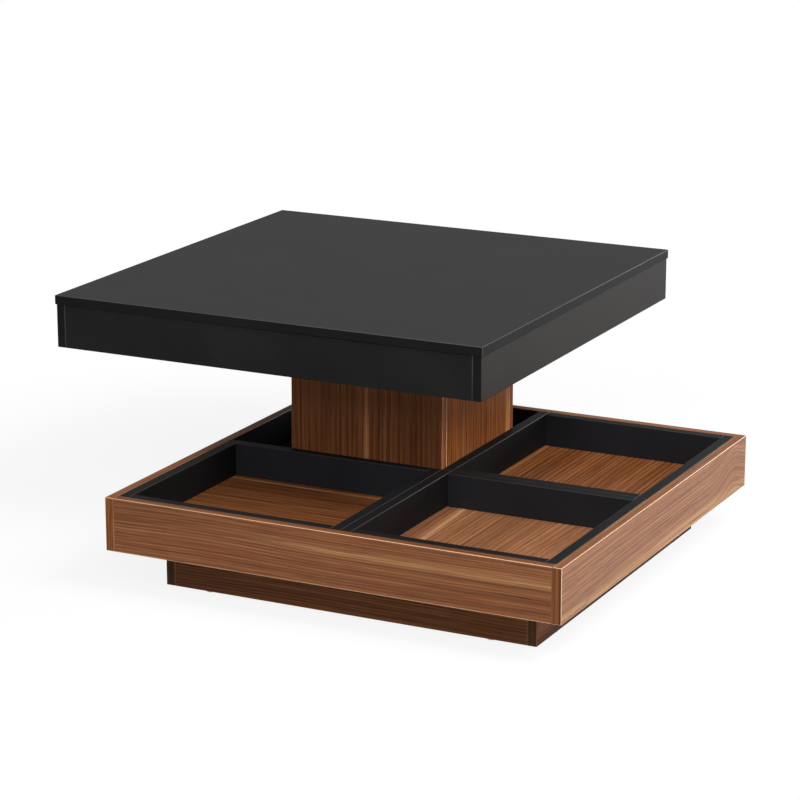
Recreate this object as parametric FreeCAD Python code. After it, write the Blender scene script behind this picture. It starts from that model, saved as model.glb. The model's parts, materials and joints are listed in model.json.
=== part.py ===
import FreeCAD, Part
import os

V = FreeCAD.Vector

# Swivel coffee table, in millimetres, +Z up.
# The origin is on the floor, on the axis that the top swivels about.
# The top stands half a turn from closed, so it reaches as far to the back left
# of the axis as the tray reaches to the front right.

# Whole table
table_side = 800.0
table_height = 415.0
board = 16.0
swivel_offset = 124.0
overrun = 5.0

# Top
slab_overhang = 2.0
apron_height = 75.0
mount_board_side = 300.0

# Column
column_side = 284.0

# Tray
rim_clear_height = 70.0
rim_height = 90.0
bin_depth = 57.0
lining_board = 18.0

# Plinth
plinth_set_in = 70.0
rail_height = 60.0
glide_height = 1.0
glide_radius = 7.5
glide_nail_radius = 1.2
glide_nail_length = 14.0
glide_place_shares = (0.12, 0.88)

# Corner blocks, cut from the same board
block_leg = 40.0
block_screw_share = 0.3

# Swivel bearing
plate_side = 200.0
plate_thickness = 2.0
plate_corner_radius = 12.0
plate_hole_inset = 15.0
ball_diameter = 7.0
ball_circle_diameter = 120.0
ball_count = 24
race_depth = 0.5
race_clearance = 0.2
cage_width = 16.0
cage_thickness = 1.2
rivet_radius = 8.0
rivet_wall = 1.5
rivet_flange_radius = 13.0
rivet_flange_thickness = 1.5
rivet_end_play = 0.2
rivet_well_clearance = 3.0
pivot_clearance = 0.3

# Dowels
dowel_radius = 4.0
dowel_length = 30.0
dowel_seat_share = 0.42
dowel_clearance = 0.1
corner_dowel_shares = (0.2, 0.8)
rail_dowel_shares = (0.25, 0.75)
edge_dowel_shares = (0.25, 0.75)
floor_dowel_shares = (0.15, 0.85)
lining_dowel_shares = (0.3, 0.7)

# Cam bolts and cam locks
cam_radius = 6.0
cam_depth_share = 0.75
cam_reach = 24.0
cam_bolt_radius = 3.0
cam_bolt_head_radius = 3.5
cam_bolt_head_length = 3.0
cam_clearance = 0.2
cam_height_share = 0.5

# Screws
screw_radius = 2.0
screw_length = 25.0
screw_head_radius = 4.0
screw_head_height = 2.2
plate_screw_length = 14.0
plate_screw_head_radius = 3.8
plate_screw_head_height = 2.0
screw_clearance = 0.1
cap_screw_shares = (0.25, 0.75)
mount_screw_inset = 20.0

# Heights of the stacked pieces
slab_bottom = table_height - board
apron_bottom = slab_bottom - apron_height
mount_bottom = slab_bottom - board
plate_gap = ball_diameter - 2 * race_depth
upper_plate_bottom = mount_bottom - plate_thickness
lower_plate_top = upper_plate_bottom - plate_gap
cap_top = lower_plate_top - plate_thickness
cap_bottom = cap_top - board
rim_top = rim_clear_height + rim_height
floor_top = rim_top - bin_depth
floor_bottom = floor_top - board
rail_bottom = floor_bottom - rail_height
ball_height = lower_plate_top + plate_gap / 2

# Plan of the table
half_side = table_side / 2
half_column = column_side / 2
tray_left = swivel_offset - half_side
tray_right = swivel_offset + half_side
tray_front = -swivel_offset - half_side
tray_back = -swivel_offset + half_side
bay_left = tray_left + board
bay_right = tray_right - board
bay_front = tray_front + board
bay_back = tray_back - board
plinth_plan = (tray_left + plinth_set_in, tray_right - plinth_set_in,
               tray_front + plinth_set_in, tray_back - plinth_set_in)
slab_plan = (-tray_right, -tray_left, -tray_back, -tray_front)
apron_plan = (slab_plan[0] + slab_overhang, slab_plan[1] - slab_overhang,
              slab_plan[2] + slab_overhang, slab_plan[3] - slab_overhang)
column_plan = (-half_column, half_column, -half_column, half_column)
bin_plans = {
    "front_left_bin": (bay_left, half_column, bay_front, -half_column),
    "front_right_bin": (half_column, bay_right, bay_front, -half_column),
    "back_right_bin": (half_column, bay_right, -half_column, bay_back),
}
column_bay_plan = (bay_left, half_column, -half_column, bay_back)

UP = V(0, 0, 1)
LEFT = V(-1, 0, 0)
RIGHT = V(1, 0, 0)
FRONT = V(0, -1, 0)
BACK = V(0, 1, 0)

solids = {}
cutters = {}


# Book-keeping: every node is a list of solids, and a list of what is cut out of them
def add(node, solid):
    solids.setdefault(node, []).append(solid)


def cut_from(node, tool):
    cutters.setdefault(node, []).append(tool)


def block(plan, bottom, top):
    x0, x1, y0, y1 = plan
    return Part.makeBox(x1 - x0, y1 - y0, top - bottom, V(x0, y0, bottom))


def square_plan(side):
    return (-side / 2, side / 2, -side / 2, side / 2)


def rod(radius, start, end):
    return Part.makeCylinder(radius, (end - start).Length, start, end - start)


def along(low, high, share):
    return low + (high - low) * share


# Fasteners, each with the holes that it needs
def dowel(group, point, out, seat_node, end_node):
    """A dowel across the joint at point: seated in a face, and long in the end that butts on it."""
    seat = board * dowel_seat_share
    tail = dowel_length - seat
    start = point - out * tail
    end = point + out * seat
    add(group + "_dowels", rod(dowel_radius, start, end))
    bore = rod(dowel_radius + dowel_clearance, start - out * dowel_clearance, end + out * dowel_clearance)
    cut_from(seat_node, bore)
    cut_from(end_node, bore)


def cam_joint(group, point, out, inward, seat_node, end_node):
    """A cam bolt screwed into a face at point, drawn up by a cam lock in the board that butts on it."""
    depth = board * cam_depth_share
    centre = point - out * cam_reach
    tip = point + out * board * dowel_seat_share
    neck = centre + out * cam_bolt_head_length
    mouth = centre + inward * (board / 2)
    bolt = rod(cam_bolt_radius, neck, tip).fuse(rod(cam_bolt_head_radius, centre, neck))
    add(group + "_cam_bolts", bolt)
    passage = rod(cam_bolt_head_radius + cam_clearance, centre - out * cam_clearance, point)
    lock = rod(cam_radius, mouth, mouth - inward * depth)
    add(group + "_cam_locks", lock.cut(passage))
    well = rod(cam_radius + cam_clearance, mouth + inward * overrun, mouth - inward * (depth + cam_clearance))
    cut_from(end_node, well)
    cut_from(end_node, passage)
    cut_from(seat_node, rod(cam_bolt_radius + screw_clearance, point, tip + out * screw_clearance))


def screw(group, head_face, out, length, head_radius, head_height, nodes):
    """A pan-head screw: its head stands out of head_face, its shank goes in through the nodes."""
    tip = head_face - out * length
    shank = rod(screw_radius, head_face, tip)
    head = rod(head_radius, head_face, head_face + out * head_height)
    add(group, shank.fuse(head))
    hole = rod(screw_radius + screw_clearance, head_face + out * overrun, tip - out * screw_clearance)
    for node in nodes:
        cut_from(node, hole)


def board_screw(group, head_face, out, nodes):
    screw(group + "_board_screws", head_face, out, screw_length, screw_head_radius, screw_head_height, nodes)


def plate_screw(group, head_face, out, nodes):
    screw(group, head_face, out, plate_screw_length, plate_screw_head_radius, plate_screw_head_height, nodes)


# Four boards round a rectangle
def box_frame(names, plan, bottom, top, sides_run_through, thickness):
    """names gives the left, right, front and back boards; one pair runs through past the other."""
    x0, x1, y0, y1 = plan
    left, right, front, back = names
    side_trim = 0 if sides_run_through else thickness
    end_trim = thickness if sides_run_through else 0
    add(left, block((x0, x0 + thickness, y0 + side_trim, y1 - side_trim), bottom, top))
    add(right, block((x1 - thickness, x1, y0 + side_trim, y1 - side_trim), bottom, top))
    add(front, block((x0 + end_trim, x1 - end_trim, y0, y0 + thickness), bottom, top))
    add(back, block((x0 + end_trim, x1 - end_trim, y1 - thickness, y1), bottom, top))


def frame_corners(names, plan, sides_run_through):
    """Each corner's joint: point, direction out of the butting board, its inner side, and the two nodes."""
    x0, x1, y0, y1 = plan
    left, right, front, back = names
    half = board / 2
    if sides_run_through:
        return [
            (V(x0 + board, y0 + half, 0), LEFT, BACK, left, front),
            (V(x1 - board, y0 + half, 0), RIGHT, BACK, right, front),
            (V(x0 + board, y1 - half, 0), LEFT, FRONT, left, back),
            (V(x1 - board, y1 - half, 0), RIGHT, FRONT, right, back),
        ]
    return [
        (V(x0 + half, y0 + board, 0), FRONT, RIGHT, front, left),
        (V(x0 + half, y1 - board, 0), BACK, RIGHT, back, left),
        (V(x1 - half, y0 + board, 0), FRONT, LEFT, front, right),
        (V(x1 - half, y1 - board, 0), BACK, LEFT, back, right),
    ]


def fasten_corners(group, names, plan, sides_run_through, dowel_heights, cam_height):
    for point, out, inward, seat_node, end_node in frame_corners(names, plan, sides_run_through):
        for height in dowel_heights:
            dowel(group, point + UP * height, out, seat_node, end_node)
        cam_joint(group, point + UP * cam_height, out, inward, seat_node, end_node)


def corner_blocks(node, group, plan, bottom, screw_out, panel_at):
    """Triangular blocks inside a frame's corners, each screwed to the panel at that corner."""
    x0, x1, y0, y1 = plan
    for x, to_x in ((x0 + board, 1), (x1 - board, -1)):
        for y, to_y in ((y0 + board, 1), (y1 - board, -1)):
            corner = V(x, y, bottom)
            points = [corner, corner + V(to_x * block_leg, 0, 0), corner + V(0, to_y * block_leg, 0), corner]
            add(node, Part.Face(Part.makePolygon(points)).extrude(UP * board))
            inset = block_leg * block_screw_share
            head_height = bottom + board if screw_out.z > 0 else bottom
            head_face = V(x + to_x * inset, y + to_y * inset, head_height)
            board_screw(group, head_face, screw_out, (node, panel_at(to_x, to_y)))


# Plinth
def plinth():
    names = ("plinth_left_board", "plinth_right_board", "plinth_front_board", "plinth_back_board")
    box_frame(names, plinth_plan, glide_height, floor_bottom, True, board)
    dowel_heights = [along(glide_height, floor_bottom, share) for share in corner_dowel_shares]
    cam_height = along(glide_height, floor_bottom, cam_height_share)
    fasten_corners("base", names, plinth_plan, True, dowel_heights, cam_height)
    panels = {
        (1, 1): "front_left_bin_floor",
        (-1, 1): "front_right_bin_floor",
        (-1, -1): "back_right_bin_floor",
        (1, -1): "column_floor",
    }
    corner_blocks("plinth_corner_blocks", "base", plinth_plan, floor_bottom - board, -UP,
                  lambda to_x, to_y: panels[(to_x, to_y)])
    plinth_rails()
    glides(names)


def plinth_rails():
    """Rails under the seams of the floor panels: one from front to back, and one each side of it."""
    x0, x1, y0, y1 = plinth_plan
    half = board / 2
    inner_left, inner_right, inner_front, inner_back = x0 + board, x1 - board, y0 + board, y1 - board
    seam_x, seam_y = half_column, -half_column
    long_plan = (seam_x - half, seam_x + half, inner_front, inner_back)
    left_plan = (inner_left, seam_x - half, seam_y - half, seam_y + half)
    right_plan = (seam_x + half, inner_right, seam_y - half, seam_y + half)
    add("plinth_long_rail", block(long_plan, rail_bottom, floor_bottom))
    add("plinth_left_rail", block(left_plan, rail_bottom, floor_bottom))
    add("plinth_right_rail", block(right_plan, rail_bottom, floor_bottom))
    joints = [
        (V(seam_x, inner_front, 0), FRONT, "plinth_front_board", "plinth_long_rail"),
        (V(seam_x, inner_back, 0), BACK, "plinth_back_board", "plinth_long_rail"),
        (V(inner_left, seam_y, 0), LEFT, "plinth_left_board", "plinth_left_rail"),
        (V(seam_x - half, seam_y, 0), RIGHT, "plinth_long_rail", "plinth_left_rail"),
        (V(seam_x + half, seam_y, 0), LEFT, "plinth_long_rail", "plinth_right_rail"),
        (V(inner_right, seam_y, 0), RIGHT, "plinth_right_board", "plinth_right_rail"),
    ]
    for point, out, seat_node, end_node in joints:
        for share in rail_dowel_shares:
            dowel("base", point + UP * along(rail_bottom, floor_bottom, share), out, seat_node, end_node)


def glides(names):
    """Nail-on glides under the plinth boards."""
    x0, x1, y0, y1 = plinth_plan
    half = board / 2
    left, right, front, back = names
    for share in glide_place_shares:
        x = along(x0, x1, share)
        y = along(y0, y1, share)
        for node, place in ((left, V(x0 + half, y, 0)), (right, V(x1 - half, y, 0)),
                            (front, V(x, y0 + half, 0)), (back, V(x, y1 - half, 0))):
            disc_top = place + UP * glide_height
            nail_tip = disc_top + UP * glide_nail_length
            add("floor_glides", rod(glide_radius, place, disc_top).fuse(rod(glide_nail_radius, disc_top, nail_tip)))
            cut_from(node, rod(glide_nail_radius + screw_clearance, disc_top, nail_tip + UP * screw_clearance))


# Tray
def tray():
    names = ("tray_rim_left", "tray_rim_right", "tray_rim_front", "tray_rim_back")
    plan = (tray_left, tray_right, tray_front, tray_back)
    box_frame(names, plan, rim_clear_height, rim_top, True, board)
    dowel_heights = [along(floor_top, rim_top, share) for share in corner_dowel_shares]
    cam_height = along(rim_clear_height, floor_bottom, cam_height_share)
    fasten_corners("base", names, plan, True, dowel_heights, cam_height)
    for bin_name, bin_plan in bin_plans.items():
        floor_panel(bin_name + "_floor", bin_plan, names)
        bin_lining(bin_name, bin_plan)
    floor_panel("column_floor", column_bay_plan, names)


def floor_panel(node, plan, rims):
    """A floor panel, dowelled into each rim board that it reaches."""
    x0, x1, y0, y1 = plan
    left, right, front, back = rims
    add(node, block(plan, floor_bottom, floor_top))
    level = along(floor_bottom, floor_top, cam_height_share)
    for share in floor_dowel_shares:
        x = along(x0, x1, share)
        y = along(y0, y1, share)
        if x0 == bay_left:
            dowel("base", V(x0, y, level), LEFT, left, node)
        if x1 == bay_right:
            dowel("base", V(x1, y, level), RIGHT, right, node)
        if y0 == bay_front:
            dowel("base", V(x, y0, level), FRONT, front, node)
        if y1 == bay_back:
            dowel("base", V(x, y1, level), BACK, back, node)


def bin_lining(bin_name, plan):
    """Four boards that line a bin, dowelled to its floor and level with the rim."""
    x0, x1, y0, y1 = plan
    half = lining_board / 2
    names = [bin_name + "_" + wall + "_wall" for wall in ("left", "right", "front", "back")]
    left, right, front, back = names
    box_frame(names, plan, floor_top, rim_top, True, lining_board)
    for share in lining_dowel_shares:
        x = along(x0, x1, share)
        y = along(y0, y1, share)
        for node, place in ((left, V(x0 + half, y, floor_top)), (right, V(x1 - half, y, floor_top)),
                            (front, V(x, y0 + half, floor_top)), (back, V(x, y1 - half, floor_top))):
            dowel("base", place, -UP, bin_name + "_floor", node)


# Column
def column():
    names = ("column_left_board", "column_right_board", "column_front_board", "column_back_board")
    box_frame(names, column_plan, floor_top, cap_bottom, False, board)
    dowel_heights = [along(floor_top, cap_bottom, share) for share in corner_dowel_shares]
    cam_height = along(floor_top, cap_bottom, cam_height_share)
    fasten_corners("base", names, column_plan, False, dowel_heights, cam_height)
    corner_blocks("column_foot_blocks", "base", column_plan, floor_top, UP, lambda to_x, to_y: "column_floor")
    add("column_cap", block(column_plan, cap_bottom, cap_top))
    cut_from("column_cap", rivet_well(cap_bottom, cap_top))
    x0, x1, y0, y1 = column_plan
    half = board / 2
    left, right, front, back = names
    for share in cap_screw_shares:
        x = along(x0, x1, share)
        y = along(y0, y1, share)
        for node, place in ((left, V(x0 + half, y, cap_top)), (right, V(x1 - half, y, cap_top)),
                            (front, V(x, y0 + half, cap_top)), (back, V(x, y1 - half, cap_top))):
            board_screw("base", place, UP, ("column_cap", node))


# Swivel bearing
def rivet_well(bottom, top):
    """The hole that leaves room for a flange of the centre rivet."""
    return rod(rivet_flange_radius + rivet_well_clearance, V(0, 0, bottom - overrun), V(0, 0, top + overrun))


def bearing_plate(node, bottom, centre_hole_radius):
    """A square plate with rounded corners, a centre hole and a ball race in the face towards the balls."""
    top = bottom + plate_thickness
    plate = block(square_plan(plate_side), bottom, top)
    uprights = [edge for edge in plate.Edges if abs(edge.BoundBox.ZLength - plate_thickness) < plate_thickness / 2]
    add(node, plate.makeFillet(plate_corner_radius, uprights))
    cut_from(node, rod(centre_hole_radius, V(0, 0, bottom - overrun), V(0, 0, top + overrun)))
    race_radius = ball_diameter / 2 + race_clearance
    cut_from(node, Part.makeTorus(ball_circle_diameter / 2, race_radius, V(0, 0, ball_height)))


def ball_ring():
    """The balls, and the flat cage that spaces them."""
    circle = ball_circle_diameter / 2
    ball_radius = ball_diameter / 2
    low = V(0, 0, ball_height - cage_thickness / 2)
    high = V(0, 0, ball_height + cage_thickness / 2)
    below = low - UP * overrun
    above = high + UP * overrun
    add("swivel_ball_cage", rod(circle + cage_width / 2, low, high))
    cut_from("swivel_ball_cage", rod(circle - cage_width / 2, below, above))
    for number in range(ball_count):
        turn = FreeCAD.Rotation(UP, 360 * number / ball_count)
        place = turn.multVec(V(circle, 0, 0))
        add("swivel_balls", Part.makeSphere(ball_radius, place + UP * ball_height))
        cut_from("swivel_ball_cage", rod(ball_radius + race_clearance, place + below, place + above))


def centre_rivet():
    """A hollow rivet, fast in the lower plate, whose upper flange keeps the upper plate from lifting."""
    foot = V(0, 0, cap_top - rivet_flange_thickness)
    flange_under = V(0, 0, mount_bottom + rivet_end_play)
    head = flange_under + UP * rivet_flange_thickness
    rivet = rod(rivet_radius, foot, head)
    rivet = rivet.fuse(rod(rivet_flange_radius, foot, V(0, 0, cap_top)))
    rivet = rivet.fuse(rod(rivet_flange_radius, flange_under, head))
    add("swivel_rivet", rivet)
    cut_from("swivel_rivet", rod(rivet_radius - rivet_wall, foot - UP * overrun, head + UP * overrun))


def swivel():
    bearing_plate("swivel_lower_plate", cap_top, rivet_radius)
    bearing_plate("swivel_upper_plate", upper_plate_bottom, rivet_radius + pivot_clearance)
    ball_ring()
    centre_rivet()
    hole = plate_side / 2 - plate_hole_inset
    for x in (-hole, hole):
        for y in (-hole, hole):
            plate_screw("lower_plate_screws", V(x, y, lower_plate_top), UP, ("swivel_lower_plate", "column_cap"))
            plate_screw("upper_plate_screws", V(x, y, upper_plate_bottom), -UP,
                        ("swivel_upper_plate", "swivel_mount_board"))


# Top
def top():
    names = ("apron_left_board", "apron_right_board", "apron_front_board", "apron_back_board")
    left, right, front, back = names
    add("top_slab", block(slab_plan, slab_bottom, table_height))
    box_frame(names, apron_plan, apron_bottom, slab_bottom, True, board)
    dowel_heights = [along(apron_bottom, slab_bottom, share) for share in corner_dowel_shares]
    cam_height = along(apron_bottom, slab_bottom, cam_height_share)
    fasten_corners("top", names, apron_plan, True, dowel_heights, cam_height)
    x0, x1, y0, y1 = apron_plan
    half = board / 2
    for share in edge_dowel_shares:
        x = along(x0, x1, share)
        y = along(y0, y1, share)
        for node, place in ((left, V(x0 + half, y, slab_bottom)), (right, V(x1 - half, y, slab_bottom)),
                            (front, V(x, y0 + half, slab_bottom)), (back, V(x, y1 - half, slab_bottom))):
            dowel("top", place, UP, "top_slab", node)
    corner_blocks("apron_corner_blocks", "top", apron_plan, mount_bottom, -UP, lambda to_x, to_y: "top_slab")
    mount_board()


def mount_board():
    """The board under the slab that the upper bearing plate is screwed to."""
    add("swivel_mount_board", block(square_plan(mount_board_side), mount_bottom, slab_bottom))
    cut_from("swivel_mount_board", rivet_well(mount_bottom, slab_bottom))
    place = mount_board_side / 2 - mount_screw_inset
    for x in (-place, place):
        for y in (-place, place):
            board_screw("top", V(x, y, mount_bottom), -UP, ("swivel_mount_board", "top_slab"))


def export():
    os.makedirs("parts", exist_ok=True)
    for node, pieces in solids.items():
        tools = cutters.get(node, [])
        if tools:
            pieces = [piece.cut(tools) for piece in pieces]
        shape = pieces[0] if len(pieces) == 1 else Part.makeCompound(pieces)
        shape.exportStep("parts/" + node + ".step")


plinth()
tray()
column()
swivel()
top()
export()
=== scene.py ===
import json
import math

import bmesh
import bpy
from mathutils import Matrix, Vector

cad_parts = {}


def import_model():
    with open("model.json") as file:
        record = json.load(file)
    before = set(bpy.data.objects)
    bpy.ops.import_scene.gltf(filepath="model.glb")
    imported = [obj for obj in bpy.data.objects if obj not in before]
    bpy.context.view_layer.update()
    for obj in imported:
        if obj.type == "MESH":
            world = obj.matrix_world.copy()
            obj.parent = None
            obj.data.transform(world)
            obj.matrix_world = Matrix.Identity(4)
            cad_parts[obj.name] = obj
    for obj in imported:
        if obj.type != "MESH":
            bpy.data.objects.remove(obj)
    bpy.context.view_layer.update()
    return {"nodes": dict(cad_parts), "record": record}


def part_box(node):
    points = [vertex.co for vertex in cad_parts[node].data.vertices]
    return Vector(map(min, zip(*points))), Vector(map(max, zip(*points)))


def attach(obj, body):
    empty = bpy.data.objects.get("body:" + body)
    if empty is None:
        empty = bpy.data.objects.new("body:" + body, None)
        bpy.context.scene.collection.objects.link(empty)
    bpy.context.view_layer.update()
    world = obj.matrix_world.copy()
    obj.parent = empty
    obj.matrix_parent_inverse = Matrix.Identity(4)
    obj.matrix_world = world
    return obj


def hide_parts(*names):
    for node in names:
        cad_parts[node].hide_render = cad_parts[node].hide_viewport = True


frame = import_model()

# Sizes in metres
ARRIS = 0.0009
WELD = 0.000002
ON_SIDE = 0.00001
FLOOR_REACH = 20.0

# The photograph's camera, in its 800 pixel square frame
PHOTO_SIDE_PX = 800
PHOTO_FOCAL_PX = 2877.4
CAMERA_PLACE = (2.1228, -4.2656, 1.5404)
CAMERA_TURN_DEG = 26.534
CAMERA_DROP_DEG = 15.413
SENSOR_MM = 36.0

# The lamps: name, place, width, height and power
SOFTBOXES = (
    ("right_softbox", (2.6, -0.5, 2.9), 2.0, 2.0, 130),
    ("front_softbox", (1.5, -3.3, 2.7), 2.4, 1.6, 70),
    ("back_right_softbox", (1.9, 3.8, 0.55), 2.6, 1.0, 80),
)
LAMP_TARGET = (0, 0, 0.2)
AMBIENT = 0.3

# The floor is matt grey to the light and white to the eye. The table's shadow shows on it by a small share,
# which fades out between two squares of the distance from the middle.
FLOOR_GREY = 0.6
FLOOR_PALE = 0.95
SHADOW_SHARE = 0.13
SHADOW_FADE = (0.4, 1.8)

AXES = "XYZ"
WALLS = ("left", "right", "front", "back")
BINS = ("front_left_bin", "front_right_bin", "back_right_bin")


def srgb(red, green, blue):
    """A colour as a screen shows it, from 0 to 255, turned into a shader's colour."""
    def light(level):
        share = level / 255
        return share / 12.92 if share < 0.04045 else ((share + 0.055) / 1.055) ** 2.4
    return (light(red), light(green), light(blue), 1.0)


def grey(level):
    return (level, level, level, 1.0)


def scaled(colour, *shares):
    """A colour dimmed by one share, or by a share for each of red, green and blue."""
    return [part * shares[number % len(shares)] for number, part in enumerate(colour[:3])] + [1.0]


# The numbers of a Mix node's colour sockets, which share their names with its other sockets
MIX_FIRST_COLOUR = 6
MIX_SECOND_COLOUR = 7
MIX_COLOUR_RESULT = 2


# Shader values
class Paint:
    """A value, vector or colour in a node tree. Sums and products of values become Math nodes."""

    def __init__(self, tree, socket=None):
        self.tree = tree
        self.socket = socket

    def node(self, kind, settings=None, inputs=None, output=0):
        """Adds a node of any kind: its settings first, then the values or links of its sockets."""
        made = self.tree.nodes.new("ShaderNode" + kind)
        for name, value in (settings or {}).items():
            if name == "stops":
                set_stops(made.color_ramp, value)
            else:
                setattr(made, name, value)
        for name, value in (inputs or {}).items():
            self.feed(made.inputs[name], value)
        return Paint(self.tree, made.outputs[output] if made.outputs else None)

    def feed(self, socket, value):
        if isinstance(value, Paint):
            self.tree.links.new(value.socket, socket)
        else:
            socket.default_value = value

    def math(self, operation, *values):
        return self.node("Math", {"operation": operation}, dict(enumerate(values)))

    def __add__(self, other):
        return self.math("ADD", self, other)

    def __radd__(self, other):
        return self.math("ADD", other, self)

    def __sub__(self, other):
        return self.math("SUBTRACT", self, other)

    def __rsub__(self, other):
        return self.math("SUBTRACT", other, self)

    def __mul__(self, other):
        return self.math("MULTIPLY", self, other)

    def __rmul__(self, other):
        return self.math("MULTIPLY", other, self)

    def __truediv__(self, other):
        return self.math("DIVIDE", self, other)

    def __rtruediv__(self, other):
        return self.math("DIVIDE", other, self)

    def place(self):
        """The three coordinates on the piece, in metres."""
        coordinates = self.node("TexCoord", output="Object")
        return [self.node("SeparateXYZ", inputs={0: coordinates}, output=axis) for axis in AXES]

    def noise(self, x, y, z, detail, roughness=0.5):
        spot = self.node("CombineXYZ", inputs={0: x, 1: y, 2: z})
        return self.node("TexNoise", inputs={"Vector": spot, "Scale": 1.0, "Detail": detail,
                                             "Roughness": roughness})

    def speckle(self, pace, detail):
        """Noise that changes as often in a metre in every direction."""
        x, y, z = self.place()
        return self.noise(x * pace, y * pace, z * pace, detail)

    def step(self, low, high):
        """0 short of low, 1 past high, and a smooth change between. Low may be the larger."""
        return self.node("MapRange", {"interpolation_type": "SMOOTHSTEP"},
                         {"Value": self, "From Min": low, "From Max": high})

    def hump(self):
        """1 where this value is 0, falling off smoothly to 0 either side."""
        return self.math("EXPONENT", self * self * -1.0)

    def blend(self, first, second):
        """From the first colour to the second as this value goes from 0 to 1."""
        sockets = {0: self, MIX_FIRST_COLOUR: first, MIX_SECOND_COLOUR: second}
        return self.node("Mix", {"data_type": "RGBA"}, sockets, output=MIX_COLOUR_RESULT)

    def ramp(self, *stops):
        return self.node("ValToRGB", {"stops": stops}, {0: self})

    def bump(self, strength, distance):
        return self.node("Bump", inputs={"Height": self, "Strength": strength, "Distance": distance})


def set_stops(ramp, stops):
    for number, (position, colour) in enumerate(stops):
        ready = number < len(ramp.elements)
        stop = ramp.elements[number] if ready else ramp.elements.new(position)
        stop.position = position
        stop.color = colour


def new_finish(name):
    """A material, the paint for its node tree, and its shader."""
    material = bpy.data.materials.new(name)
    material.use_nodes = True
    return material, Paint(material.node_tree), material.node_tree.nodes["Principled BSDF"]


def apply_paint(paint, shader, **inputs):
    for name, value in inputs.items():
        paint.feed(shader.inputs[name.replace("_", " ")], value)


# Walnut facing
WALNUT_STOPS = ((0.15, (72, 38, 21)), (0.36, (108, 62, 36)), (0.5, (136, 83, 51)), (0.64, (158, 103, 66)),
                (0.85, (186, 130, 88)))
WALNUT_MIDDLE = 0.6
# The pale and dark colours of streaks and pores: the wood's own sapwood and pores, and on some boards painted
# light and painted shade
SAPWOOD_AND_PAINTED_LIGHT = srgb(206, 152, 104)
PORE_AND_PAINTED_SHADE = srgb(60, 31, 17)

# Each part of the grain: how often it changes in a metre along the board and across it, detail and roughness
GRAIN = {
    "sway": (2.0, 3.0, 1.0, 0.5),
    "rings": (1.1, 7.0, 1.0, 0.5),
    "bands": (0.6, 50.0, 2.0, 0.5),
    "strands": (0.9, 260.0, 2.0, 0.6),
    "fibres": (8.0, 900.0, 2.0, 0.6),
    "veins": (1.2, 360.0, 1.5, 0.5),
    "pores": (14.0, 800.0, 1.0, 0.5),
    "lines": (1.5, 40.0, 1.0, 0.5),
}
SWAY_REACH = 0.014
RINGS_PER_METRE = 60.0
RING_DRIFT = 6.0
LINE_DRIFT = 9.0

# How strongly each part of the grain shows
RING_DEPTH = 0.07
BAND_DEPTH = 0.3
STRAND_DEPTH = 0.36
FIBRE_DEPTH = 0.4
VEIN_DEPTH = 0.3
PORE_DEPTH = 0.3

# Between which values of their noise the rings, veins and pores come in
RING_EDGE = (0.7, 1.0)
VEIN_EDGE = (0.49, 0.6)
PORE_EDGE = (0.56, 0.66)

# How far a streak sways with the grain, and how far the strands break it up
STREAK_SWAY = 0.3
STREAK_BREAK = 2.0

# The even lines of the grain: their spacing in metres and how strongly they show
RIM_LINES = (0.0053, 0.05)
FLOOR_LINES = (0.0098, 0.065)
COLUMN_LINES = (0.0098, 0.095)


def walnut(name, grain, seed, tone, figure, sheen, streaks=(), arch=None, lines=RIM_LINES):
    """Walnut with its grain along one axis. An arch bends it along another: axis, place, reach and rise.
    A streak is an axis across the grain, place, drift, width and strength.
    It is dark where the strength is below 0, and extra pale where it is over 1.
    Two more numbers say from where to where along the grain it comes in."""
    material, paint, shader = new_finish(name)
    spot = dict(zip(AXES, paint.place()))
    along = spot[grain]
    first, second = (axis for axis in AXES if axis != grain)

    def grain_noise(part, across, aside):
        onward, sideways, detail, roughness = GRAIN[part]
        return paint.noise(along * onward + seed, across * sideways, aside * sideways, detail, roughness)

    wander = (grain_noise("sway", spot[first], spot[second]) - 0.5) * SWAY_REACH
    bent = {axis: spot[axis] + wander for axis in (first, second)}
    if arch:
        axis, middle, reach, rise = arch
        bent[axis] = bent[axis] - ((along - middle) / reach).hump() * rise
    across, aside = bent[first], bent[second]
    rings = grain_noise("rings", across, aside) * RING_DRIFT + (across + aside) * RINGS_PER_METRE
    growth = rings.math("FRACT", rings).step(*RING_EDGE)
    bands = grain_noise("bands", across, aside) - 0.5
    strands = grain_noise("strands", across, aside) - 0.5
    fibres = grain_noise("fibres", across, aside) - 0.5
    veins = grain_noise("veins", across, aside).step(*VEIN_EDGE)
    pores = grain_noise("pores", across, aside).step(*PORE_EDGE)
    spacing, line_depth = lines
    phase = (across + aside) * (math.tau / spacing) + grain_noise("lines", across, aside) * LINE_DRIFT
    ribs = phase.math("SINE", phase)
    level = WALNUT_MIDDLE + bands * BAND_DEPTH + strands * STRAND_DEPTH + fibres * FIBRE_DEPTH
    level = level + (ribs * line_depth - growth * RING_DEPTH) * figure
    colour = level.ramp(*[(position, scaled(srgb(*shade), *tone)) for position, shade in WALNUT_STOPS])
    # Streaks give the wood's own figure, and on some boards painted light and painted shade
    for axis, middle, drift, width, strength, *fade in streaks:
        distance = spot[axis] + wander * STREAK_SWAY - (along * drift + middle)
        glow = (distance / width).hump() * min(abs(strength), 1.0)
        if fade:
            glow = glow * along.step(*fade)
        shade = scaled(SAPWOOD_AND_PAINTED_LIGHT if strength > 0 else PORE_AND_PAINTED_SHADE, max(strength, 1.0))
        colour = (glow * (1.0 + strands * STREAK_BREAK)).blend(colour, scaled(shade, *tone))
    marks = veins * (VEIN_DEPTH * figure) + pores * PORE_DEPTH
    colour = marks.blend(colour, scaled(PORE_AND_PAINTED_SHADE, *tone))
    height = fibres * 0.5 - pores
    apply_paint(paint, shader, Base_Color=colour, Roughness=0.46 + strands * 0.2,
                Normal=height.bump(strength=0.1, distance=0.0004), Specular_IOR_Level=sheen)
    return material


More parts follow.
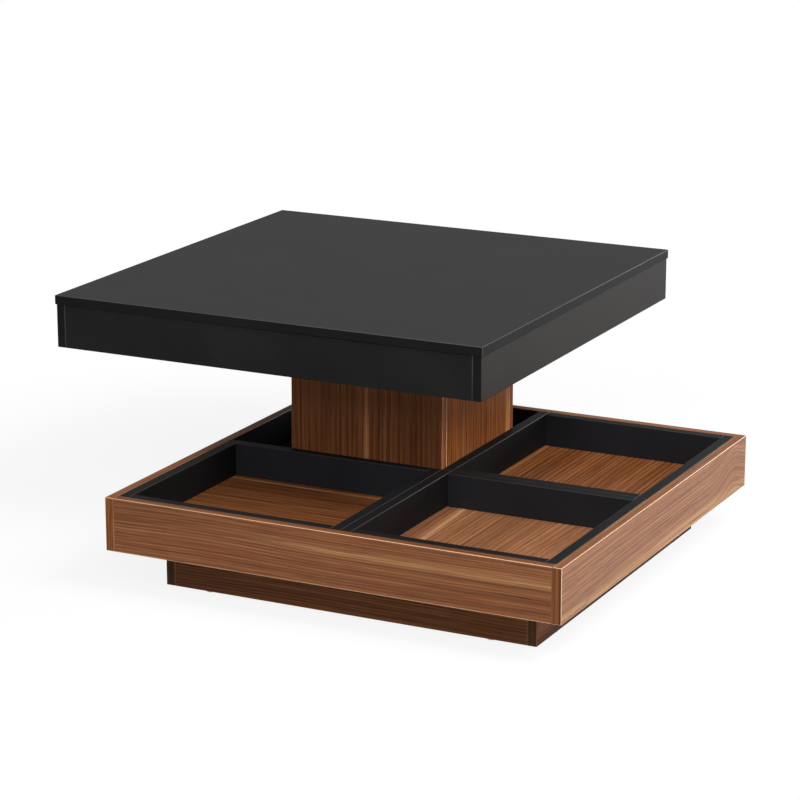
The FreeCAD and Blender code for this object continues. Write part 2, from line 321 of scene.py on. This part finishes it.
def arris_band(name, colour, roughness, specular):
    """The trimmed arris of an edge band, a little worn; its pale colour is partly painted highlight."""
    material, paint, shader = new_finish(name)
    wear = paint.speckle(pace=60, detail=3.0)
    apply_paint(paint, shader, Base_Color=wear.blend(scaled(colour, 0.75), colour),
                Roughness=roughness + wear * 0.1, Specular_IOR_Level=specular)
    return material


# Black facing
def black_facing(name, darkest, palest, roughness, specular):
    material, paint, shader = new_finish(name)
    cloud = paint.speckle(pace=7, detail=3.0)
    grit = paint.speckle(pace=900, detail=2.0)
    colour = (cloud * 0.5 + grit * 0.5).ramp((0.3, darkest), (0.7, palest))
    apply_paint(paint, shader, Base_Color=colour, Roughness=roughness + cloud * 0.08 + grit * 0.05,
                Normal=grit.bump(strength=0.08, distance=0.0003), Specular_IOR_Level=specular)
    return material


# Pieces that the table hides
def bare_board(name):
    material, paint, shader = new_finish(name)
    coordinates = paint.node("TexCoord", output="Object")
    chips = paint.node("TexVoronoi", inputs={"Vector": coordinates, "Scale": 420.0}, output="Color")
    shade = paint.node("SeparateColor", inputs={0: chips}, output=0)
    dust = paint.speckle(pace=300, detail=3.0)
    colour = (shade * 0.6 + dust * 0.4).ramp((0.1, srgb(128, 95, 60)), (0.5, srgb(176, 142, 98)),
                                             (0.9, srgb(206, 178, 136)))
    apply_paint(paint, shader, Base_Color=colour, Roughness=0.75 + dust * 0.2,
                Normal=shade.bump(strength=0.25, distance=0.0005))
    return material


def beech(name):
    material, paint, shader = new_finish(name)
    grain = paint.speckle(pace=400, detail=3.0)
    colour = grain.ramp((0.3, srgb(196, 160, 116)), (0.7, srgb(222, 190, 148)))
    apply_paint(paint, shader, Base_Color=colour, Roughness=0.6 + grain * 0.2,
                Normal=grain.bump(strength=0.2, distance=0.0004))
    return material


def plated_steel(name, colour, roughness):
    material, paint, shader = new_finish(name)
    spangle = paint.speckle(pace=240, detail=3.0)
    apply_paint(paint, shader, Base_Color=spangle.blend(scaled(colour, 0.8), colour), Metallic=1.0,
                Roughness=roughness + spangle * 0.15,
                Normal=spangle.bump(strength=0.05, distance=0.0002))
    return material


def moulded_plastic(name, colour):
    material, paint, shader = new_finish(name)
    grain = paint.speckle(pace=1100, detail=2.0)
    apply_paint(paint, shader, Base_Color=grain.blend(scaled(colour, 0.85), colour),
                Roughness=0.5 + grain * 0.15, Normal=grain.bump(strength=0.15, distance=0.0003))
    return material


# Boards: the order of their finishes, how far a side or an arris faces in a direction, and the arris's facets
FACE, BAND, EDGE, JOINT, OTHERS = range(5)
SQUARE_ON = 0.9
LEANING = 0.3
ARRIS_STEPS = 2


def box_edges(mesh, low, high):
    """The edges of a board where two of its outer sides meet."""
    def sides(edge):
        count = 0
        for axis in range(3):
            for limit in (low[axis], high[axis]):
                if all(abs(vert.co[axis] - limit) < ON_SIDE for vert in edge.verts):
                    count += 1
        return count
    return [edge for edge in mesh.edges if sides(edge) == 2]


def at_joint(place, node):
    """Whether a place on one board's arris lies against another board."""
    for other, (low, high) in BOXES.items():
        if other != node and all(low[axis] - ARRIS < place[axis] < high[axis] + ARRIS for axis in range(3)):
            return True
    return False


def board(node, body, face, band, edge, joint, band_axes, others=(), quiet=()):
    """The board of a node, with trimmed arrises and banded sides, riding where the node is.
    The others are finishes for the sides that face in given directions.
    The arrises that face in a quiet direction are as dark as the face, with no painted highlight."""
    low, high = BOXES[node]
    mesh = bmesh.new()
    mesh.from_mesh(frame["nodes"][node].data)
    bmesh.ops.remove_doubles(mesh, verts=mesh.verts, dist=WELD)
    bmesh.ops.dissolve_limit(mesh, angle_limit=math.radians(1), verts=mesh.verts, edges=mesh.edges)
    for part in mesh.faces:
        banded = any(abs(part.normal[AXES.index(axis)]) > SQUARE_ON for axis in band_axes)
        part.material_index = BAND if banded else FACE
        for number, (direction, finish) in enumerate(others):
            if part.normal.dot(direction) > SQUARE_ON:
                part.material_index = OTHERS + number
    trimmed = bmesh.ops.bevel(mesh, geom=box_edges(mesh, low, high), offset=ARRIS, segments=ARRIS_STEPS,
                              profile=0.5, affect="EDGES")
    mesh.normal_update()
    for part in trimmed["faces"]:
        part.smooth = True
        if any(part.normal.dot(direction) > LEANING for direction in quiet):
            part.material_index = FACE
        else:
            part.material_index = JOINT if at_joint(part.calc_center_median(), node) else EDGE
    data = bpy.data.meshes.new(node + "_finished")
    mesh.to_mesh(data)
    mesh.free()
    for finish in (face, band, edge, joint, *(finish for direction, finish in others)):
        data.materials.append(finish)
    piece = bpy.data.objects.new(node + "_finished", data)
    bpy.context.scene.collection.objects.link(piece)
    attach(piece, body)
    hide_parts(node)


# How the walnut of each board runs: its grain, tone, figure, sheen and streaks
WALNUT_BOARDS = {
    # The thin pale streak at 0.0713 on the front and right rims is a painted highlight along their lower
    # edges
    "tray_rim_front": ("X", (0.83, 0.8, 0.74), 1.1, 0.18, [
        ("Z", 0.1305, 0.0, 0.0065, 0.66, -0.1, 0.15), ("Z", 0.1265, 0.0, 0.004, 0.5, -0.05, 0.2),
        ("Z", 0.1195, 0.0, 0.0025, -0.3, -0.05, 0.2), ("Z", 0.0713, 0.0, 0.0007, 0.9)]),
    "tray_rim_back": ("X", (1.0, 1.0, 1.0), 0.8, 0.2, [("Z", 0.12, 0.02, 0.008, 0.3)]),
    "tray_rim_left": ("Y", (1.0, 1.0, 1.0), 0.8, 0.2, [("Z", 0.105, 0.02, 0.01, 0.3)]),
    "tray_rim_right": ("Y", (0.88, 0.945, 1.01), 1.15, 0.2, [
        ("Z", 0.079, 0.0, 0.009, 0.45), ("Z", 0.0713, 0.0, 0.0007, 0.9)]),
    # The plinth's boards are dim in tone, partly the wood's own and partly painted shade under the tray
    "plinth_front_board": ("X", (0.63, 0.62, 0.61), 1.1, 0.08, [("Z", 0.035, 0.0, 0.2, -0.22, 0.05, -0.2)]),
    "plinth_back_board": ("X", (0.63, 0.62, 0.61), 1.1, 0.08, []),
    # The dark streaks along the side boards' bottoms are a painted shadow at the floor
    "plinth_left_board": ("Y", (0.72, 0.64, 0.56), 1.5, 0.04, [("Z", 0.0, 0.0, 0.014, -0.8)]),
    "plinth_right_board": ("Y", (0.72, 0.64, 0.56), 1.5, 0.04, [("Z", 0.0, 0.0, 0.014, -0.8)]),
    # The front left and back right floors are dim in tone, partly the wood's own and partly painted shade
    "front_left_bin_floor": ("X", (0.67, 0.61, 0.53), 1.5, 0.05, [
        # The dark streak that fades in towards the right end of the front left floor is painted shade
        ("Y", -0.215, 0.0, 0.03, -0.14), ("Y", -0.26, 0.0, 0.06, -0.2, -0.1, 0.05),
        ("Y", -0.174, 0.0, 0.004, 1.2)]),
    "front_right_bin_floor": ("Y", (0.95, 1.02, 1.14), 0.9, 0.2, [
        ("X", 0.15, -0.04, 0.02, -0.25), ("X", 0.295, 0.0, 0.035, -0.22), ("X", 0.186, -0.04, 0.0042, 0.8)]),
    "back_right_bin_floor": ("Y", (0.68, 0.6, 0.505), 1.5, 0.04, [
        ("X", 0.2, 0.0, 0.03, -0.15), ("X", 0.164, 0.0, 0.004, 0.6)]),
    # The floor round the column is darkened to near black as painted shade
    "column_floor": ("X", (0.16, 0.16, 0.17), 0.8, 0.02, []),
    # The column's boards are dim in tone, partly the wood's own and partly painted shade under the top
    "column_front_board": ("Z", (0.58, 0.53, 0.53), 0.9, 0.03, [
        # The wide pale streak that fades in towards the top is painted light
        ("X", 0.001, 0.0, 0.0036, 1.6), ("X", 0.1, 0.0, 0.05, -0.2), ("X", 0.0, 0.0, 0.5, 0.45, 0.19, 0.29)]),
    "column_back_board": ("Z", (0.6, 0.55, 0.55), 0.9, 0.03, [("X", -0.05, 0.0, 0.005, 0.4)]),
    "column_left_board": ("Z", (0.75, 0.68, 0.58), 0.9, 0.03, [("Y", 0.03, 0.0, 0.005, 0.4)]),
    "column_right_board": ("Z", (0.76, 0.61, 0.4), 1.1, 0.015, [
        ("Y", 0.118, 0.0, 0.006, 1.2), ("Y", -0.0595, 0.0, 0.003, 0.45), ("Y", -0.105, 0.0, 0.05, 0.08),
        # The wide pale streak that fades in towards the top is painted light
        ("Y", 0.04, 0.0, 0.06, -0.1), ("Y", 0.09, 0.0, 0.15, 0.28, 0.19, 0.25)]),
}
ARCHES = {"tray_rim_right": ("Z", 0.215, 0.06, 0.022)}

# The bands on the boards' ends: their tones, where they aren't the face's own one dimmed, and their streaks
BAND_TONES = {
    "column_front_board": (0.85, 0.7, 0.55), "column_back_board": (0.85, 0.7, 0.55),
    "tray_rim_left": (0.9, 0.83, 0.76), "tray_rim_right": (0.74, 0.72, 0.7),
    # The ends of the plinth's side boards are dark partly as painted shade
    "plinth_left_board": (0.29, 0.33, 0.38), "plinth_right_board": (0.32, 0.37, 0.41),
}
BAND_STREAKS = {
    "tray_rim_left": [("X", -0.2608, 0.0, 0.0008, 1.3)],
    "tray_rim_right": [("X", 0.5122, 0.0, 0.0012, -0.5), ("X", 0.5215, 0.0, 0.002, -0.6)],
    # The dark streak on the column's front board's end is painted shade in the groove beside the side board
    "column_front_board": [("Y", -0.1285, 0.0, 0.0013, -0.9)],
}
BAND_DIMMING = 0.62
BAND_FIGURE = 0.8
BAND_SHEEN = 0.04

# The upper sides of the rims
ABOVE_DIMMING = 0.8
ABOVE_FIGURE = 1.0
ABOVE_SHEEN = 0.04

# Where each board's noise starts, so that no two look alike
FIRST_SEED = 1.0
SEED_STEP = 3.7
ABOVE_SEED = 20.0
BAND_SEED = 50.0

UPWARD = Vector((0, 0, 1))
DOWNWARD = -UPWARD
INWARD = {"tray_rim_left": Vector((1, 0, 0)), "tray_rim_right": Vector((-1, 0, 0)),
          "tray_rim_front": Vector((0, 1, 0)), "tray_rim_back": Vector((0, -1, 0))}
LINING_BOARDS = [name + "_" + wall + "_wall" for name in BINS for wall in WALLS]
APRON_BOARDS = ["apron_" + wall + "_board" for wall in WALLS]
BOXES = {node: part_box(node) for node in [*WALNUT_BOARDS, *LINING_BOARDS, *APRON_BOARDS, "top_slab"]}


def end_axis(node):
    """The axis along which a board is longest, so that its ends face along it."""
    low, high = BOXES[node]
    spans = high - low
    return AXES[max(range(3), key=lambda axis: spans[axis])]


def lines_of(node):
    """The even lines of a board's grain, which are broader on the floors and the column."""
    if node.endswith("floor"):
        return FLOOR_LINES
    return COLUMN_LINES if node.startswith("column") else RIM_LINES


def walnut_boards():
    # The arris colours are paler than the faces, partly the bands' own edges and partly painted highlights
    bright = arris_band("walnut_arris", srgb(224, 182, 148), 0.4, 0.2)
    plain = arris_band("walnut_joint", srgb(138, 92, 64), 0.5, 0.1)
    corner = arris_band("column_arris", srgb(206, 150, 112), 0.5, 0.1)
    pale = arris_band("column_joint", srgb(255, 214, 172), 0.5, 0.1)
    dark = arris_band("plinth_joint", srgb(146, 104, 78), 0.5, 0.2)
    # The rims' inner sides are black facing, as dark as the bins' left walls, which is partly painted shade
    inside = black_facing("rim_inside", srgb(17, 16, 17), srgb(25, 24, 25), 0.4, 0.03)
    for number, (node, (grain, tone, figure, sheen, streaks)) in enumerate(WALNUT_BOARDS.items()):
        seed = SEED_STEP * number + FIRST_SEED
        face = walnut(node + "_walnut", grain, seed, tone, figure, sheen, streaks, ARCHES.get(node),
                      lines_of(node))
        band_tone = BAND_TONES.get(node, [part * BAND_DIMMING for part in tone])
        band = walnut(node + "_band", "Z", seed + BAND_SEED, band_tone, BAND_FIGURE, BAND_SHEEN,
                      BAND_STREAKS.get(node, ()))
        edge, joint, others, quiet = plain, plain, [], []
        if node in INWARD:
            edge = bright
            above_tone = [part * ABOVE_DIMMING for part in tone]
            above = walnut(node + "_above", grain, seed + ABOVE_SEED, above_tone, ABOVE_FIGURE, ABOVE_SHEEN)
            others = [(INWARD[node], inside), (UPWARD, above)]
            quiet = [INWARD[node]]
        elif node.startswith("plinth"):
            edge = joint = dark
        elif node.startswith("column"):
            edge, joint = corner, pale
        board(node, "base", face, band, edge, joint, end_axis(node), others, quiet)


def black_boards():
    satin = black_facing("black_satin", srgb(23, 23, 24), srgb(33, 33, 33), 0.46, 0.04)
    apron = black_facing("black_apron", srgb(28, 28, 29), srgb(40, 39, 39), 0.46, 0.046)
    # The side aprons take a warmer copy of the apron's black as a painted reflection of the walnut tray
    side_apron = black_facing("black_side_apron_painted_reflection", srgb(32, 29, 29), srgb(44, 40, 39), 0.46, 0.046)
    banding = black_facing("black_banding", srgb(24, 24, 25), srgb(34, 34, 35), 0.46, 0.027)
    capping = black_facing("lining_banding", srgb(20, 20, 21), srgb(29, 29, 30), 0.46, 0.023)
    # The linings' bluish grey is partly their own black and partly a painted reflection of the pale studio
    lining = black_facing("black_lining", srgb(32, 33, 36), srgb(42, 43, 47), 0.3, 0.07)
    # The bins' left walls take a darker copy of the lining as painted shade
    shaded = black_facing("black_side_lining_painted_shade", srgb(17, 16, 17), srgb(25, 24, 25), 0.4, 0.03)
    # The arrises' greys are paler than the faces, partly the bands' own edges and partly painted highlights
    edge = arris_band("black_arris", srgb(54, 53, 51), 0.45, 0.08)
    joint = arris_band("black_joint", srgb(50, 49, 47), 0.45, 0.1)
    apron_joint = arris_band("apron_joint", srgb(74, 73, 68), 0.45, 0.1)
    slab_edge = arris_band("slab_arris", srgb(80, 79, 77), 0.45, 0.06)
    for node in LINING_BOARDS:
        face = shaded if node.endswith("left_wall") else lining
        board(node, "base", face, capping, edge, joint, "Z")
    for node in APRON_BOARDS:
        face = apron if end_axis(node) == "X" else side_apron
        board(node, "top", face, banding, edge, apron_joint, end_axis(node),
              quiet=(UPWARD, DOWNWARD))
    board("top_slab", "top", satin, banding, slab_edge, joint, "XY", quiet=(DOWNWARD,))


def hidden_pieces():
    finishes = {
        "plain_board": bare_board("bare_chipboard"),
        "beech_dowel": beech("beech"),
        "zinc_steel": plated_steel("zinc_plate", srgb(196, 197, 200), 0.32),
        "bearing_steel": plated_steel("ball_steel", srgb(222, 223, 226), 0.12),
        "cage_plastic": moulded_plastic("natural_plastic", srgb(226, 224, 216)),
        "glide_plastic": moulded_plastic("white_plastic", srgb(222, 222, 218)),
    }
    for part in frame["record"]["subparts"]:
        finish = finishes.get(part["material_slot"])
        if finish:
            for holder in frame["nodes"][part["node"]].material_slots:
                holder.material = finish


# Studio
def background_rays(paint):
    """1 for the rays that see the white background, and 0 for those that carry its light."""
    seen = paint.node("LightPath", output="Is Camera Ray")
    glossy = paint.node("LightPath", output="Is Glossy Ray")
    through = paint.node("LightPath", output="Is Transmission Ray")
    return seen.math("MAXIMUM", seen, glossy.math("MAXIMUM", glossy, through))


def floor():
    material = bpy.data.materials.new("pale_floor")
    material.use_nodes = True
    material.node_tree.nodes.clear()
    paint = Paint(material.node_tree)
    matt = paint.node("BsdfDiffuse", inputs={"Color": grey(FLOOR_GREY)})
    pale = paint.node("BsdfDiffuse", inputs={"Color": grey(FLOOR_PALE)})
    white = paint.node("Emission", inputs={"Color": grey(1.0), "Strength": 1.0})
    x, y, z = paint.place()
    away = (x * x + y * y).step(*SHADOW_FADE)
    shown = paint.node("MixShader", inputs={0: 1 - SHADOW_SHARE + away * SHADOW_SHARE, 1: pale, 2: white})
    mixed = paint.node("MixShader", inputs={0: background_rays(paint), 1: matt, 2: shown})
    paint.node("OutputMaterial", inputs={"Surface": mixed})
    data = bpy.data.meshes.new("studio_floor")
    corners = [(-FLOOR_REACH, -FLOOR_REACH, 0), (FLOOR_REACH, -FLOOR_REACH, 0),
               (FLOOR_REACH, FLOOR_REACH, 0), (-FLOOR_REACH, FLOOR_REACH, 0)]
    data.from_pydata(corners, [], [(0, 1, 2, 3)])
    data.materials.append(material)
    plane = bpy.data.objects.new("studio_floor", data)
    bpy.context.scene.collection.objects.link(plane)


def world():
    made = bpy.data.worlds.new("studio")
    bpy.context.scene.world = made
    made.use_nodes = True
    made.node_tree.nodes.clear()
    paint = Paint(made.node_tree)
    soft = paint.node("Background", inputs={"Color": grey(1.0), "Strength": AMBIENT})
    white = paint.node("Background", inputs={"Color": grey(1.0), "Strength": 1.0})
    mixed = paint.node("MixShader", inputs={0: background_rays(paint), 1: soft, 2: white})
    paint.node("OutputWorld", inputs={"Surface": mixed})


def softbox(name, place, width, height, power):
    lamp = bpy.data.lights.new(name, "AREA")
    lamp.shape = "RECTANGLE"
    lamp.size = width
    lamp.size_y = height
    lamp.energy = power
    holder = bpy.data.objects.new(name, lamp)
    holder.location = place
    holder.rotation_euler = (Vector(LAMP_TARGET) - Vector(place)).to_track_quat("-Z", "Y").to_euler()
    bpy.context.scene.collection.objects.link(holder)


def camera():
    data = bpy.data.cameras.new("photo_camera")
    data.sensor_width = SENSOR_MM
    data.lens = SENSOR_MM * PHOTO_FOCAL_PX / PHOTO_SIDE_PX
    holder = bpy.data.objects.new("photo_camera", data)
    holder.location = CAMERA_PLACE
    holder.rotation_euler = (math.radians(90 - CAMERA_DROP_DEG), 0, math.radians(CAMERA_TURN_DEG))
    bpy.context.scene.collection.objects.link(holder)
    bpy.context.scene.camera = holder


walnut_boards()
black_boards()
hidden_pieces()
floor()
world()
for lamp_values in SOFTBOXES:
    softbox(*lamp_values)
camera()
bpy.context.scene.view_settings.view_transform = "Standard"
